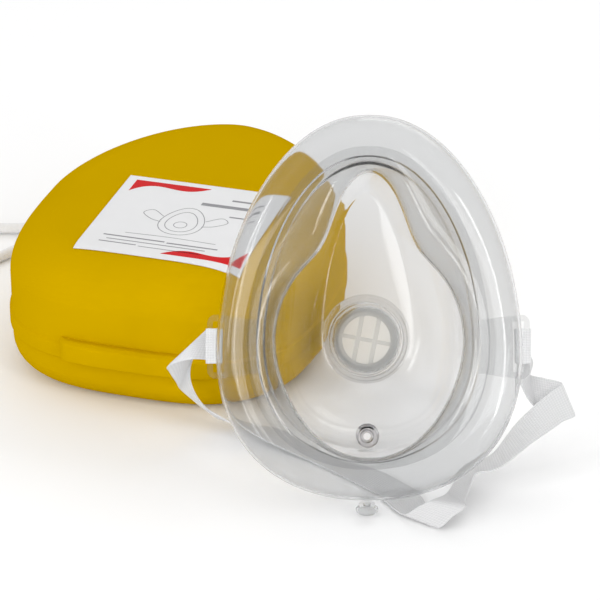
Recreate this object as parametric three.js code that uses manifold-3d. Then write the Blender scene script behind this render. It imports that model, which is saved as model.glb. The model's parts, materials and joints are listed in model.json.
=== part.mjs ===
// Pocket resuscitation mask kit: a clear face mask with its one-way valve and
// elastic strap, and the yellow clamshell case it is carried in.
// Millimetres, +Z up. +X runs across the case, +Y from its opening edge to its hinge.
import * as THREE from 'three';
import { mergeVertices } from 'three/addons/utils/BufferGeometryUtils.js';
import Module from 'manifold-3d';

const wasm = await Module();
wasm.setup();
const { Manifold, Mesh } = wasm;

// ---------- driving dimensions: case ----------
const CASE_A = 57.5;          // half width
const CASE_B = 72.5;          // half length
const CASE_TAPER = 0.02;      // narrowing towards the hinge
const CASE_FRONT_POWER = 3.2; // squareness of the opening edge
const CASE_BACK_POWER = 1.78; // pointedness of the hinge edge
const CASE_TOP = 53.2;
const LID_RADIUS = 17.5;
const BASE_RADIUS = 11;
const WALL = 2;
const SEAM = 16;              // lower edge of the lid
const SKIRT_TOP = 22.4;
const SKIRT_OUT = 0.8;
const SPIGOT_TOP = 19.4;
const RUN = 0.3;              // gap between pieces that lie against each other
const GRIP_OUT = 3.6;
const GRIP_X = [-25, 33];
const GRIP_Z = [16.6, 24.6];
const HINGE_R = 3.1;
const HINGE_BORE = 1.3;
const PIN_R = 1.22;
const HINGE_Y = CASE_B + HINGE_R + 0.7;
const HINGE_Z = SEAM;
const KNUCKLES = 5;
const KNUCKLE_LONG = 7.6;
const KNUCKLE_GAP = 0.4;
const LABEL_X = [-24.5, 37];
const LABEL_Y = [-57, 3.8];

// ---------- driving dimensions: mask ----------
const MASK_TURN = 16.8;       // about +Z, against the case
const MASK_TILT = 62;         // lean of the face plane
const MASK_AT = [95.9, -96.6, 54.8];
const RIM_A = 50.4;
const RIM_B = 64.9;
const RIM_MID = 11.4;
const RIM_TAPER = 0.186;
const RIM_POWER = 2.2;
const CUSHION_DEEP = 20;
const FLANGE_INSET = 10;
const WALL_INSET = 14.5;
const FLANGE_BACK = -22.5;
const PLATEAU = -50.5;
const DOME_WALL = 2;
const PORT_R = 14.6;
const PORT_BORE = 13.2;
const PORT_END = -62;
const VALVE_END = -90;

const group = new THREE.Group();
const kase = new THREE.Group();
const mask = new THREE.Group();
group.add(kase);
group.add(mask);

const LOOKS = {
  shell: [0xd9b000, 0.45],
  steel: [0xb9bcc0, 0.3],
  paper: [0xe4e4e2, 0.7],
  clear: [0xd9dde0, 0.12],
  soft: [0xe2e6e8, 0.2],
  silicone: [0xe9ecee, 0.35],
  elastic: [0xf2f2f2, 0.85],
  cord: [0xeeeeee, 0.9],
  foam: [0xf0f0ee, 0.9],
};

function addMesh(parent, name, geometry, look) {
  const [color, roughness] = LOOKS[look];
  const material = new THREE.MeshStandardMaterial({ color, roughness });
  material.name = look;
  const mesh = new THREE.Mesh(geometry, material);
  mesh.name = name;
  parent.add(mesh);
  return mesh;
}

// ---------- surfaces built from stacked rings ----------
function ringSkin(rings, closed, cap = capHub) {
  const count = rings[0].length;
  const positions = [];
  const index = [];
  for (const ring of rings) {
    for (const p of ring) {
      positions.push(p[0], p[1], p[2]);
    }
  }
  const rows = closed ? rings.length : rings.length - 1;
  for (let i = 0; i < rows; i += 1) {
    const next = (i + 1) % rings.length;
    for (let j = 0; j < count; j += 1) {
      const k = (j + 1) % count;
      const a = i * count + j;
      const b = i * count + k;
      const c = next * count + k;
      const d = next * count + j;
      index.push(a, b, c, a, c, d);
    }
  }
  if (!closed) {
    cap(rings[0], 0, positions, index, true);
    cap(rings[rings.length - 1], (rings.length - 1) * count, positions, index, false);
  }
  const geometry = new THREE.BufferGeometry();
  geometry.setAttribute('position', new THREE.Float32BufferAttribute(positions, 3));
  geometry.setIndex(index);
  return facingOut(geometry);
}

// Closes a rounded end with a fan to its middle.
function capHub(ring, start, positions, index, reversed) {
  const count = ring.length;
  const middle = [0, 1, 2].map((axis) => ring.reduce((sum, p) => sum + p[axis], 0) / count);
  const hub = positions.length / 3;
  positions.push(...middle);
  for (let j = 0; j < count; j += 1) {
    const k = (j + 1) % count;
    if (reversed) {
      index.push(hub, start + k, start + j);
    } else {
      index.push(hub, start + j, start + k);
    }
  }
}

// Closes the end of a thin sheet, whose ring runs out along one face and back along the other.
function capSheet(ring, start, positions, index, reversed) {
  const last = ring.length - 1;
  for (let j = 0; j < last - j - 1; j += 1) {
    const [a, b, c, d] = [j, j + 1, last - j - 1, last - j].map((k) => start + k);
    if (reversed) {
      index.push(a, c, b, a, d, c);
    } else {
      index.push(a, b, c, a, c, d);
    }
  }
}

function signedVolume(geometry) {
  const at = geometry.getAttribute('position');
  const order = geometry.getIndex().array;
  const a = new THREE.Vector3();
  const b = new THREE.Vector3();
  const c = new THREE.Vector3();
  let sum = 0;
  for (let i = 0; i < order.length; i += 3) {
    a.fromBufferAttribute(at, order[i]);
    b.fromBufferAttribute(at, order[i + 1]);
    c.fromBufferAttribute(at, order[i + 2]);
    sum += a.dot(b.cross(c)) / 6;
  }
  return sum;
}

function facingOut(geometry) {
  if (signedVolume(geometry) < 0) {
    const order = geometry.getIndex().array;
    for (let i = 0; i < order.length; i += 3) {
      const swap = order[i + 1];
      order[i + 1] = order[i + 2];
      order[i + 2] = swap;
    }
  }
  return geometry;
}

// ---------- joining and cutting ----------
function toManifold(geometry) {
  const bare = geometry.clone();
  bare.deleteAttribute('normal');
  bare.deleteAttribute('uv');
  const welded = facingOut(mergeVertices(bare, 1e-5));
  return new Manifold(new Mesh({
    numProp: 3,
    vertProperties: new Float32Array(welded.getAttribute('position').array),
    triVerts: new Uint32Array(welded.getIndex().array),
  }));
}

function fromManifold(solid) {
  const mesh = solid.getMesh();
  const geometry = new THREE.BufferGeometry();
  geometry.setAttribute('position', new THREE.BufferAttribute(new Float32Array(mesh.vertProperties), 3));
  geometry.setIndex(new THREE.BufferAttribute(new Uint32Array(mesh.triVerts), 1));
  return geometry;
}

function joined(geometries) {
  return fromManifold(geometries.map(toManifold).reduce((sum, part) => sum.add(part)));
}

function cutFrom(body, cutters) {
  return fromManifold(cutters.map(toManifold).reduce((rest, part) => rest.subtract(part), toManifold(body)));
}

// A turned solid about local Z from a closed (radius, height) profile.
function turned(profile, sides) {
  const points = profile.map(([r, z]) => new THREE.Vector2(r, z));
  const first = profile[0];
  const last = profile[profile.length - 1];
  if (first[0] > 0 || last[0] > 0) {
    points.push(points[0].clone());
  }
  const lathe = new THREE.LatheGeometry(points, sides);
  lathe.rotateX(Math.PI / 2);
  lathe.deleteAttribute('normal');
  lathe.deleteAttribute('uv');
  return facingOut(mergeVertices(lathe, 1e-5));
}

function rodAlongX(radius, x0, x1, y, z, sides) {
  const rod = turned([[0, x0], [radius, x0], [radius, x1], [0, x1]], sides);
  rod.rotateY(Math.PI / 2);
  rod.translate(0, y, z);
  return rod;
}

function block(x, y, z) {
  const box = new THREE.BoxGeometry(x[1] - x[0], y[1] - y[0], z[1] - z[0]);
  box.translate((x[0] + x[1]) / 2, (y[0] + y[1]) / 2, (z[0] + z[1]) / 2);
  return box;
}

// ---------- case ----------
const CASE_SIDES = 84;

function casePoint(angle, inset) {
  const c = Math.cos(angle);
  const s = Math.sin(angle);
  const a = CASE_A - inset;
  const b = CASE_B - inset;
  const power = s < 0 ? CASE_FRONT_POWER : CASE_BACK_POWER;
  const y = b * Math.sign(s) * Math.abs(s) ** (2 / power);
  const x = a * Math.sign(c) * Math.abs(c) ** (2 / power) * (1 - CASE_TAPER * y / CASE_B);
  return [x, y];
}

function caseRing(inset, z) {
  return Array.from({ length: CASE_SIDES }, (_, i) => {
    const [x, y] = casePoint((i + 0.5) * 2 * Math.PI / CASE_SIDES, inset);
    return [x, y, z];
  });
}

function quarter(steps, place) {
  return Array.from({ length: steps + 1 }, (_, i) => place(i * Math.PI / 2 / steps));
}

function bodyOfRings(steps) {
  return ringSkin(steps.map(([inset, z]) => caseRing(inset, z)), false);
}

const baseInner = BASE_RADIUS - 0.5;
const baseShell = bodyOfRings([
  ...quarter(5, (t) => [BASE_RADIUS * (1 - Math.sin(t)), BASE_RADIUS * (1 - Math.cos(t))]),
  [0, SEAM - RUN],
  [1.3, SEAM - RUN],
  [1.3, SPIGOT_TOP],
  [2.7, SPIGOT_TOP],
  ...quarter(4, (t) => [
    2.7 + baseInner * (1 - Math.cos(t)),
    WALL + baseInner * (1 - Math.sin(t)),
  ]),
]);

const lidInner = LID_RADIUS - 0.5;
const lidShell = bodyOfRings([
  ...quarter(6, (t) => [LID_RADIUS * (1 - Math.sin(t)), CASE_TOP - LID_RADIUS * (1 - Math.cos(t))]),
  [0, SKIRT_TOP],
  [-SKIRT_OUT, SKIRT_TOP - 0.9],
  [-SKIRT_OUT, SEAM],
  [1, SEAM],
  [1, SPIGOT_TOP + 0.5],
  [WALL, SPIGOT_TOP + 1.5],
  ...quarter(4, (t) => [
    WALL + lidInner * (1 - Math.cos(t)),
    CASE_TOP - WALL - lidInner * (1 - Math.sin(t)),
  ]),
]);

function gripBar() {
  const steps = 14;
  const outer = [];
  const inner = [];
  for (let i = 0; i <= steps; i += 1) {
    const x = GRIP_X[0] + (GRIP_X[1] - GRIP_X[0]) * i / steps;
    const wall = CASE_B * (1 - Math.abs(x / CASE_A) ** CASE_FRONT_POWER) ** (1 / CASE_FRONT_POWER);
    const end = Math.min(i, steps - i) < 1 ? 2.2 : 0;
    outer.push([x, -wall - GRIP_OUT + end]);
    inner.push([x, -wall + 0.9]);
  }
  const shape = new THREE.Shape([...outer, ...inner.reverse()].map(([x, y]) => new THREE.Vector2(x, y)));
  const bar = new THREE.ExtrudeGeometry(shape, { depth: GRIP_Z[1] - GRIP_Z[0], bevelEnabled: false });
  bar.translate(0, 0, GRIP_Z[0]);
  return bar;
}

// The knuckle row alternates: odd ones belong to the lid, even ones to the base.
function knuckleSpan(i) {
  const pitch = KNUCKLE_LONG + KNUCKLE_GAP;
  const start = (i - KNUCKLES / 2) * pitch + KNUCKLE_GAP / 2;
  return [start, start + KNUCKLE_LONG];
}

function knuckle(i, onLid) {
  const [x0, x1] = knuckleSpan(i);
  const barrel = rodAlongX(HINGE_R, x0, x1, HINGE_Y, HINGE_Z, 24);
  const wallY = CASE_B - 8;
  const reach = onLid ? [HINGE_Z + 0.6, HINGE_Z + HINGE_R] : [HINGE_Z - HINGE_R, HINGE_Z - 0.6];
  const web = block([x0, x1], [wallY, HINGE_Y], reach);
  return [barrel, web];
}

const lidKnuckles = [1, 3].flatMap((i) => knuckle(i, true));
const baseKnuckles = [0, 2, 4].flatMap((i) => knuckle(i, false));
const hingeBore = rodAlongX(HINGE_BORE, -30, 30, HINGE_Y, HINGE_Z, 24);

// The wall of the other half is cleared where a barrel or web would touch it.
function clearance(i) {
  const [x0, x1] = knuckleSpan(i);
  return rodAlongX(HINGE_R + RUN, x0 - RUN, x1 + RUN, HINGE_Y, HINGE_Z, 24);
}

const lidHollow = bodyOfRings([[1, SEAM - 2], [1, CASE_TOP - LID_RADIUS]]);
const lidWebs = joined(lidKnuckles);
const lidBody = joined([lidShell, cutFrom(lidWebs, [lidHollow]), cutFrom(gripBar(), [lidHollow])]);
const lidCut = cutFrom(lidBody, [hingeBore, ...[0, 2, 4].map(clearance)]);
addMesh(kase, 'case_lid', lidCut, 'shell');

const baseHollow = bodyOfRings([[1.6, 4], [1.6, SEAM + 8]]);
const baseBody = joined([baseShell, cutFrom(joined(baseKnuckles), [baseHollow])]);
const baseCut = cutFrom(baseBody, [hingeBore, ...[1, 3].map(clearance)]);
addMesh(kase, 'case_base', baseCut, 'shell');

const pinHalf = KNUCKLES * (KNUCKLE_LONG + KNUCKLE_GAP) / 2 - 0.4;
addMesh(kase, 'hinge_pin', rodAlongX(PIN_R, -pinHalf, pinHalf, HINGE_Y, HINGE_Z, 24), 'steel');

// How far a point of the lid lies inside its outline.
function lidInset(x, y) {
  let low = 0;
  let high = CASE_A - 1;
  const power = y < 0 ? CASE_FRONT_POWER : CASE_BACK_POWER;
  const across = Math.abs(x) / (1 - CASE_TAPER * y / CASE_B);
  for (let i = 0; i < 30; i += 1) {
    const inset = (low + high) / 2;
    const reach = (across / (CASE_A - inset)) ** power + Math.abs(y / (CASE_B - inset)) ** power;
    if (reach < 1) {
      low = inset;
    } else {
      high = inset;
    }
  }
  return low;
}

function lidHeight(x, y) {
  const short = Math.max(LID_RADIUS - lidInset(x, y), 0);
  return CASE_TOP - LID_RADIUS + Math.sqrt(LID_RADIUS ** 2 - short ** 2);
}

// The label follows the top of the lid over the start of its rounded edge.
const LABEL_CELLS = 14;
const LABEL_LIFT = 0.2;
const LABEL_THICK = 0.25;
function label() {
  const at = ([low, high], i) => low + (high - low) * i / LABEL_CELLS;
  const steps = Array.from({ length: LABEL_CELLS + 1 }, (_, i) => i);
  const rings = steps.map((i) => {
    const y = at(LABEL_Y, i);
    const under = steps.map((j) => {
      const x = at(LABEL_X, j);
      return [x, y, lidHeight(x, y) + LABEL_LIFT];
    });
    const over = under.map(([x, , z]) => [x, y, z + LABEL_THICK]).reverse();
    return [...under, ...over];
  });
  return ringSkin(rings, false, capSheet);
}
addMesh(kase, 'case_label', label(), 'paper');

// A thin foam pad on the case floor.
const padRings = [[15, WALL + 0.3], [15, WALL + 3.3]].map(([inset, z]) => caseRing(inset, z));
addMesh(kase, 'case_pad', ringSkin(padRings, false), 'foam');

// Eyelet for the carrying cord on the back left of the base.
const EYELET_ANGLE = Math.PI - 0.95;
const [eyeX, eyeY] = casePoint(EYELET_ANGLE, 0);
const EYELET_TURN = Math.atan2(0.84, -0.55);
const EYELET_Z = 9.5;
function eyelet() {
  const ring = turned([[2.7, -1.2], [4.7, -1.2], [4.7, 1.2], [2.7, 1.2]], 20);
  ring.translate(5.4, 0, 0);
  const stem = block([-3.4, 1.6], [-2.2, 2.2], [-1.2, 1.2]);
  const piece = joined([ring, stem]);
  piece.rotateZ(EYELET_TURN);
  piece.translate(eyeX, eyeY, EYELET_Z);
  return piece;
}
const baseBlock = bodyOfRings([[-RUN, 0], [-RUN, SEAM]]);
addMesh(kase, 'cord_eyelet', cutFrom(eyelet(), [baseBlock]), 'shell');

// ---------- mask outlines, as radii about the port's axis ----------
const MASK_SIDES = 72;

function outermost(inside, phi) {
  let low = 0;
  let high = 120;
  for (let i = 0; i < 40; i += 1) {
    const middle = (low + high) / 2;
    if (inside(middle * Math.sin(phi), middle * Math.cos(phi))) {
      low = middle;
    } else {
      high = middle;
    }
  }
  return low;
}

function eggRadius(inset, phi) {
  const a = RIM_A - inset;
  const b = RIM_B - inset;
  return outermost((x, u) => {
    const s = (u - RIM_MID) / b;
    if (Math.abs(s) >= 1) {
      return false;
    }
    return Math.abs(x) < a * (1 - Math.abs(s) ** RIM_POWER) ** (1 / RIM_POWER) * (1 - RIM_TAPER * s);
  }, phi);
}

// The face opening: round over the mouth and chin, drawn out narrow over the nose.
function openingRadius(phi) {
  const around = Math.abs(phi > Math.PI ? phi - 2 * Math.PI : phi);
  const degrees = around * 180 / Math.PI;
  const chin = 8.1 * ((1 - Math.cos(around)) / 2) ** 7;
  const nose = 22.5 * Math.exp(-((degrees / 17) ** 2)) + 3 * Math.exp(-((degrees / 55) ** 2));
  return 31.2 + chin + nose;
}

// The raised teardrop that carries the port.
function teardropRadius(grow, phi) {
  return outermost((x, u) => {
    if (u < 0) {
      return Math.hypot(x, u) < 15.4 + grow;
    }
    const along = Math.abs(u / (52 + grow)) ** 1.9;
    return along + Math.abs(x / (15.4 + grow)) ** 1.54 < 1;
  }, phi);
}

function polarRing(radiusAt, f) {
  return Array.from({ length: MASK_SIDES }, (_, i) => {
    const phi = i * 2 * Math.PI / MASK_SIDES;
    const r = radiusAt(phi);
    return [r * Math.sin(phi), r * Math.cos(phi), f];
  });
}

// ---------- cushion ----------
function cushion() {
  const around = 16;
  const rings = [];
  for (let i = 0; i < around; i += 1) {
    const beta = i * 2 * Math.PI / around;
    const across = Math.sign(Math.cos(beta)) * Math.abs(Math.cos(beta)) ** 0.87;
    const deep = Math.sign(Math.sin(beta)) * Math.abs(Math.sin(beta)) ** 0.87;
    rings.push(polarRing((phi) => {
      const outer = eggRadius(0, phi);
      const inner = openingRadius(phi);
      return (outer + inner) / 2 + (outer - inner) / 2 * across;
    }, CUSHION_DEEP / 2 * (deep - 1)));
  }
  return ringSkin(rings, true);
}
addMesh(mask, 'cushion', cushion(), 'soft');

// ---------- dome ----------
// Each entry blends from the wall's foot (0) to the teardrop's edge (1).
const WALL_STEPS = [
  [0, -24.5], [0.1, -29.5], [0.25, -35.5], [0.45, -41.5], [0.7, -46.5], [0.9, -49.4], [1, PLATEAU],
];

function wallRadius(blend, phi) {
  return (1 - blend) * eggRadius(WALL_INSET, phi) + blend * teardropRadius(1.2, phi);
}

function domeProfile(phi) {
  const wall = WALL_STEPS.map(([blend, f]) => [wallRadius(blend, phi), f]);
  return [
    [eggRadius(FLANGE_INSET, phi), FLANGE_BACK],
    [eggRadius(WALL_INSET - 1.5, phi), FLANGE_BACK],
    ...wall,
    [PORT_R, PLATEAU - 0.5],
    [PORT_R, PORT_END],
  ];
}

function offsetProfile(profile, thickness) {
  return profile.map(([r, f], i) => {
    const before = profile[Math.max(i - 1, 0)];
    const after = profile[Math.min(i + 1, profile.length - 1)];
    const dr = after[0] - before[0];
    const df = after[1] - before[1];
    const long = Math.hypot(dr, df);
    return [r + thickness * df / long, f - thickness * dr / long];
  });
}

function domeSkin(outward, inward, boreRadius) {
  const columns = Array.from({ length: MASK_SIDES }, (_, i) => {
    const phi = i * 2 * Math.PI / MASK_SIDES;
    const middle = domeProfile(phi);
    const outer = offsetProfile(middle, -outward);
    const inner = offsetProfile(middle, inward);
    outer[0] = [outer[0][0], FLANGE_BACK - outward];
    inner[0] = [outer[0][0], FLANGE_BACK + inward];
    const last = inner.length - 1;
    inner[last] = [boreRadius, PORT_END];
    inner[last - 1] = [boreRadius, PLATEAU + inward];
    const loop = [...outer, ...inner.reverse()];
    return loop.map(([r, f]) => [r * Math.sin(phi), r * Math.cos(phi), f]);
  });
  const rings = columns[0].map((_, j) => columns.map((column) => column[j]));
  return ringSkin(rings, true);
}

const dome = domeSkin(0, DOME_WALL, PORT_BORE);

// ---------- oxygen inlet on the chin side ----------
const INLET_U = -33.5;
const INLET_R = 2.7;
const INLET_BORE = 1.3;
const INLET_MOUTH = 3.2;
const inletHole = turned([[0, -60], [INLET_MOUTH, -60], [INLET_MOUTH, -20], [0, -20]], 28);
inletHole.translate(0, INLET_U, 0);
addMesh(mask, 'dome', cutFrom(dome, [inletHole]), 'clear');

const inletTube = turned([
  [INLET_MOUTH, -25.5], [INLET_MOUTH, -41], [INLET_BORE, -41.8], [INLET_BORE, -48.5], [2.1, -48.5],
  [INLET_R, -46.6], [2.1, -46.4], [2.1, -43.6], [4.1, -42.8], [4.1, -25.5],
], 28);
inletTube.translate(0, INLET_U, 0);
addMesh(mask, 'oxygen_inlet', cutFrom(inletTube, [domeSkin(RUN, 12, 2)]), 'clear');

// ---------- strap lugs ----------
const LUG_U = -2;
const LUG_HALF = 11;
const LUG_SLOT = 8.7;
const LUG_X = [37.5, 55];
const SLOT_X = [49.7, 53];
const LUG_F = [-24.9, FLANGE_BACK - RUN];

function lug(side) {
  const shape = new THREE.Shape();
  const corner = 3;
  shape.moveTo(LUG_X[0], LUG_U - LUG_HALF + 2);
  shape.lineTo(LUG_X[1] - corner, LUG_U - LUG_HALF);
  shape.absarc(LUG_X[1] - corner, LUG_U - LUG_HALF + corner, corner, -Math.PI / 2, 0, false);
  shape.lineTo(LUG_X[1], LUG_U + LUG_HALF - corner);
  shape.absarc(LUG_X[1] - corner, LUG_U + LUG_HALF - corner, corner, 0, Math.PI / 2, false);
  shape.lineTo(LUG_X[0], LUG_U + LUG_HALF - 2);
  shape.closePath();
  const slot = new THREE.Path();
  slot.moveTo(SLOT_X[0], LUG_U - LUG_SLOT);
  slot.lineTo(SLOT_X[0], LUG_U + LUG_SLOT);
  slot.lineTo(SLOT_X[1], LUG_U + LUG_SLOT);
  slot.lineTo(SLOT_X[1], LUG_U - LUG_SLOT);
  slot.closePath();
  shape.holes.push(slot);
  const depth = LUG_F[1] - LUG_F[0];
  const plate = new THREE.ExtrudeGeometry(shape, { depth, bevelEnabled: false, curveSegments: 5 });
  plate.translate(0, 0, LUG_F[0]);
  if (side < 0) {
    plate.scale(-1, 1, 1);
  }
  const trimmed = fromManifold(toManifold(plate).subtract(toManifold(domeSkin(RUN, 12, 2))));
  return trimmed;
}
addMesh(mask, 'strap_lug_left', lug(-1), 'clear');
addMesh(mask, 'strap_lug_right', lug(1), 'clear');

// ---------- one-way valve ----------
const SPIGOT_R = PORT_BORE - RUN;
const SPIGOT_IN = 11.8;
const SEAT_HOLE = 8.5;
const SEAT_F = -56;
const COLLAR_R = 16;
const MOUTH_R = 13.2;

addMesh(mask, 'valve_body', turned([
  [SPIGOT_IN, -52], [SPIGOT_R, -52], [SPIGOT_R, PORT_END - RUN - 0.2], [COLLAR_R - 0.6, PORT_END - RUN - 0.2],
  [COLLAR_R, PORT_END - 1.1], [COLLAR_R, -66.4], [COLLAR_R - 0.6, -67], [SPIGOT_IN, -67],
  [SPIGOT_IN, SEAT_F - 1.6], [SEAT_HOLE, SEAT_F - 1.6], [SEAT_HOLE, SEAT_F], [SPIGOT_IN, SEAT_F],
], 48), 'clear');

addMesh(mask, 'valve_mouthpiece', turned([
  [11.5, -60.5], [11.5, -67.3], [MOUTH_R - 0.4, -67.3], [MOUTH_R - 0.6, -84], [MOUTH_R, -84.6],
  [MOUTH_R, VALVE_END + 0.6], [MOUTH_R - 0.6, VALVE_END], [11, VALVE_END], [10.4, VALVE_END + 0.8],
  [9.8, -60.5],
], 48), 'clear');

addMesh(mask, 'valve_flap', turned([[0, SEAT_F + 0.3], [10.8, SEAT_F + 0.3], [10.8, SEAT_F + 0.9],
  [0, SEAT_F + 0.9]], 40), 'silicone');

addMesh(mask, 'valve_filter', turned([[0, -59.8], [11.4, -59.8], [11.4, -58.2], [0, -58.2]], 40), 'foam');

const CAGE_F = [-53.4, -52.4];
const CAGE_TURN = -11;
function cage() {
  const ring = turned([[SEAT_HOLE, CAGE_F[0]], [SPIGOT_IN - 0.2, CAGE_F[0]], [SPIGOT_IN - 0.2, CAGE_F[1]],
    [SEAT_HOLE, CAGE_F[1]]], 40);
  const bars = [-3, 3].map((x) => block([x - 0.8, x + 0.8], [-8.6, 8.6], CAGE_F));
  const cross = block([-8.9, 8.9], [-0.7, 0.7], CAGE_F);
  const piece = joined([ring, ...bars, cross]);
  piece.rotateZ(CAGE_TURN * Math.PI / 180);
  return piece;
}
addMesh(mask, 'valve_cage', cage(), 'clear');

// ---------- points of the upright frame seen square to the mask's left-right axis ----------
// Its origin is the floor under the port axis; it turns with the mask but does not lean.
const upright = new THREE.Matrix4().makeRotationZ(MASK_TURN * Math.PI / 180);
upright.setPosition(MASK_AT[0], MASK_AT[1], 0);
const standing = new THREE.Group();
standing.applyMatrix4(upright);
group.add(standing);

// ---------- inflation nozzle and plug, lying on the floor under the chin ----------
const NOZZLE_R = 2.8;
const NOZZLE_BORE = 1.2;
const NOZZLE_LIP = 3.8;
const NOZZLE_FLAT = 0.55;      // height of its oval section over its width
const NOZZLE_AT = [-0.8, 2.6];
const NOZZLE_Y = [-18.15, -21.8];
const PLUG_R = 1;
const PLUG_CAP = 3.2;
const PLUG_LONG = 3;
const PLUG_CAP_THICK = 0.7;
function alongY(profile, sides) {
  const piece = turned(profile.map(([r, y]) => [r, -y]), sides);
  piece.rotateX(Math.PI / 2);
  piece.scale(1, 1, NOZZLE_FLAT);
  piece.translate(NOZZLE_AT[0], 0, NOZZLE_AT[1]);
  return piece;
}
const tip = NOZZLE_Y[1];
addMesh(standing, 'inflation_nozzle', alongY([
  [NOZZLE_BORE, NOZZLE_Y[0]], [NOZZLE_R, NOZZLE_Y[0]], [NOZZLE_R, tip + 2],
  [NOZZLE_LIP, tip + 0.6], [NOZZLE_LIP, tip], [NOZZLE_BORE, tip],
], 28), 'soft');
addMesh(standing, 'inflation_plug', alongY([
  [0, tip + PLUG_LONG], [PLUG_R, tip + PLUG_LONG], [PLUG_R, tip - RUN], [PLUG_CAP, tip - RUN],
  [PLUG_CAP, tip - RUN - PLUG_CAP_THICK], [0, tip - RUN - PLUG_CAP_THICK],
], 28), 'silicone');

// ---------- elastic head strap ----------
const STRAP_CLEAR = 0.05;      // height of the resting band over the floor
const STRAP_THICK = 0.8;
// Matching points of the band's two edges, in the upright frame, from lug to lug.
const STRAP_EDGES = [
  [[-55.4, 21.4, 48.2], [-55.4, 15.8, 37.7]],
  [[-53.4, 21.4, 48.2], [-53.4, 15.8, 37.7]],
  [[-51.8, 21.5, 48.1], [-51.8, 15.9, 37.6]],
  [[-51.2, 22.3, 47.7], [-51.2, 16.7, 37.2]],
  [[-51.3, 23.9, 46.9], [-51.3, 18.3, 36.4]],
  [[-53.4, 25.3, 46.1], [-52.7, 20.4, 36.1]],
  [[-54.1, 25.7, 46.0], [-60.3, 21.4, 36.2]],
  [[-54.8, 26.5, 45.1], [-68.4, 21.5, 33.4]],
  [[-55.9, 28.0, 41.4], [-68.1, 23.9, 29.5]],
  [[-59.1, 28.5, 36.0], [-66.5, 27.0, 24.6]],
  [[-61.3, 26.7, 28.3], [-65.1, 32.7, 18.3]],
  [[-60.4, 26.5, 21.6], [-61.5, 34.6, 13.4]],
  [[-56.7, 27.2, 14.3], [-57.2, 37.3, 7.8]],
  [[-50.5, 27.9, 9.2], [-50.1, 37.9, 2.6]],
  [[-38.0, 24.0, 3.6], [-31.0, 33.6, 1.2]],
  [[-18.5, 12.0, 0.6], [-11.0, 21.5, 0.6]],
  [[-4.5, -1.4, 0.6], [4.6, 6.4, 0.6]],
  [[5.1, -12.8, 0.5], [16.2, -7.7, 0.5]],
  [[8.3, -18.2, 0.6], [19.4, -16.4, 0.5]],
  [[11.8, -22.9, 1.5], [22.6, -29.9, 0.7]],
  [[16.8, -24.3, 5.7], [27.6, -29.2, 4.6]],
  [[20.9, -23.4, 7.4], [31.8, -27.3, 7.0]],
  [[26.2, -11.4, 2.4], [31.9, -21.4, 5.4]],
  [[29.8, -3.4, 3.2], [33.6, -14.4, 6.0]],
  [[33.0, 1.4, 4.8], [35.4, -9.9, 8.0]],
  [[36.9, 3.4, 5.9], [36.9, -8.1, 8.8]],
  [[43.0, 5.0, 8.9], [44.4, -6.4, 9.8]],
  [[50.6, 10.4, 16.9], [55.1, -0.4, 15.7]],
  [[57.2, 14.3, 22.1], [62.5, 5.3, 17.9]],
  [[61.8, 17.4, 24.7], [66.5, 8.7, 19.0]],
  [[66.6, 20.5, 27.3], [70.7, 11.8, 19.6]],
  [[61.1, 23.9, 27.3], [62.3, 15.9, 18.6]],
  [[55.5, 25.5, 28.2], [56.8, 17.0, 20.7]],
  [[56.8, 25.5, 32.5], [52.4, 15.3, 29.2]],
  [[55.2, 25.9, 37.4], [51.9, 17.9, 31.6]],
  [[54.8, 25.4, 45.1], [53.3, 18.9, 35.0]],
  [[51.3, 23.9, 46.9], [51.3, 18.3, 36.4]],
  [[51.2, 22.3, 47.7], [51.2, 16.7, 37.2]],
  [[51.8, 21.5, 48.1], [51.8, 15.9, 37.6]],
  [[53.4, 21.4, 48.2], [53.4, 15.8, 37.7]],
  [[55.4, 21.4, 48.2], [55.4, 15.8, 37.7]],
];

function ribbon(edges, thick, steps) {
  const [first, second] = [0, 1].map((side) => (
    new THREE.CatmullRomCurve3(edges.map((pair) => new THREE.Vector3(...pair[side])))));
  const middle = new THREE.CatmullRomCurve3(edges.map(([p, q]) => (
    new THREE.Vector3(...p).add(new THREE.Vector3(...q)).multiplyScalar(0.5))));
  const rings = [];
  for (let i = 0; i <= steps; i += 1) {
    const t = i / steps;
    const sides = [first.getPoint(t), second.getPoint(t)];
    const across = sides[1].clone().sub(sides[0]).normalize();
    const out = new THREE.Vector3().crossVectors(middle.getTangent(t), across).normalize();
    const corners = [[0, -1], [1, -1], [1, 1], [0, 1]];
    rings.push(corners.map(([side, face]) => {
      const p = sides[side].clone().addScaledVector(out, face * thick / 2);
      const lift = face * out.z > 0 ? thick : 0;
      return [p.x, p.y, Math.max(p.z, STRAP_CLEAR + lift)];
    }));
  }
  return ringSkin(rings, false);
}
addMesh(standing, 'head_strap', ribbon(STRAP_EDGES, STRAP_THICK, 140), 'elastic');

// ---------- carrying cord: a loop that leaves the eyelet and comes back to it ----------
const CORD_R = 2;
const CORD_ROUTE = [
  [-39, 68, 9], [-52, 62, 6], [-68, 54, 3], [-86.5, 46.5, 2.2], [-104, 40.5, 2.2],
  [-120, 29, 2.2], [-124, 12, 2.2], [-114, -1, 2.2], [-99, 1, 2.2], [-89, 15, 2.2],
  [-81, 30, 2.2], [-70, 43, 2.2], [-56, 53, 3.4], [-46, 57, 6],
];

function cord(route, radius, steps) {
  const path = new THREE.CatmullRomCurve3(route.map((p) => new THREE.Vector3(...p)));
  const circle = new THREE.Shape();
  circle.absarc(0, 0, radius, 0, 2 * Math.PI, false);
  return new THREE.ExtrudeGeometry(circle, { steps, extrudePath: path, curveSegments: 8, bevelEnabled: false });
}
addMesh(kase, 'lanyard_cord', cord(CORD_ROUTE, CORD_R, 40), 'cord');

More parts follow.
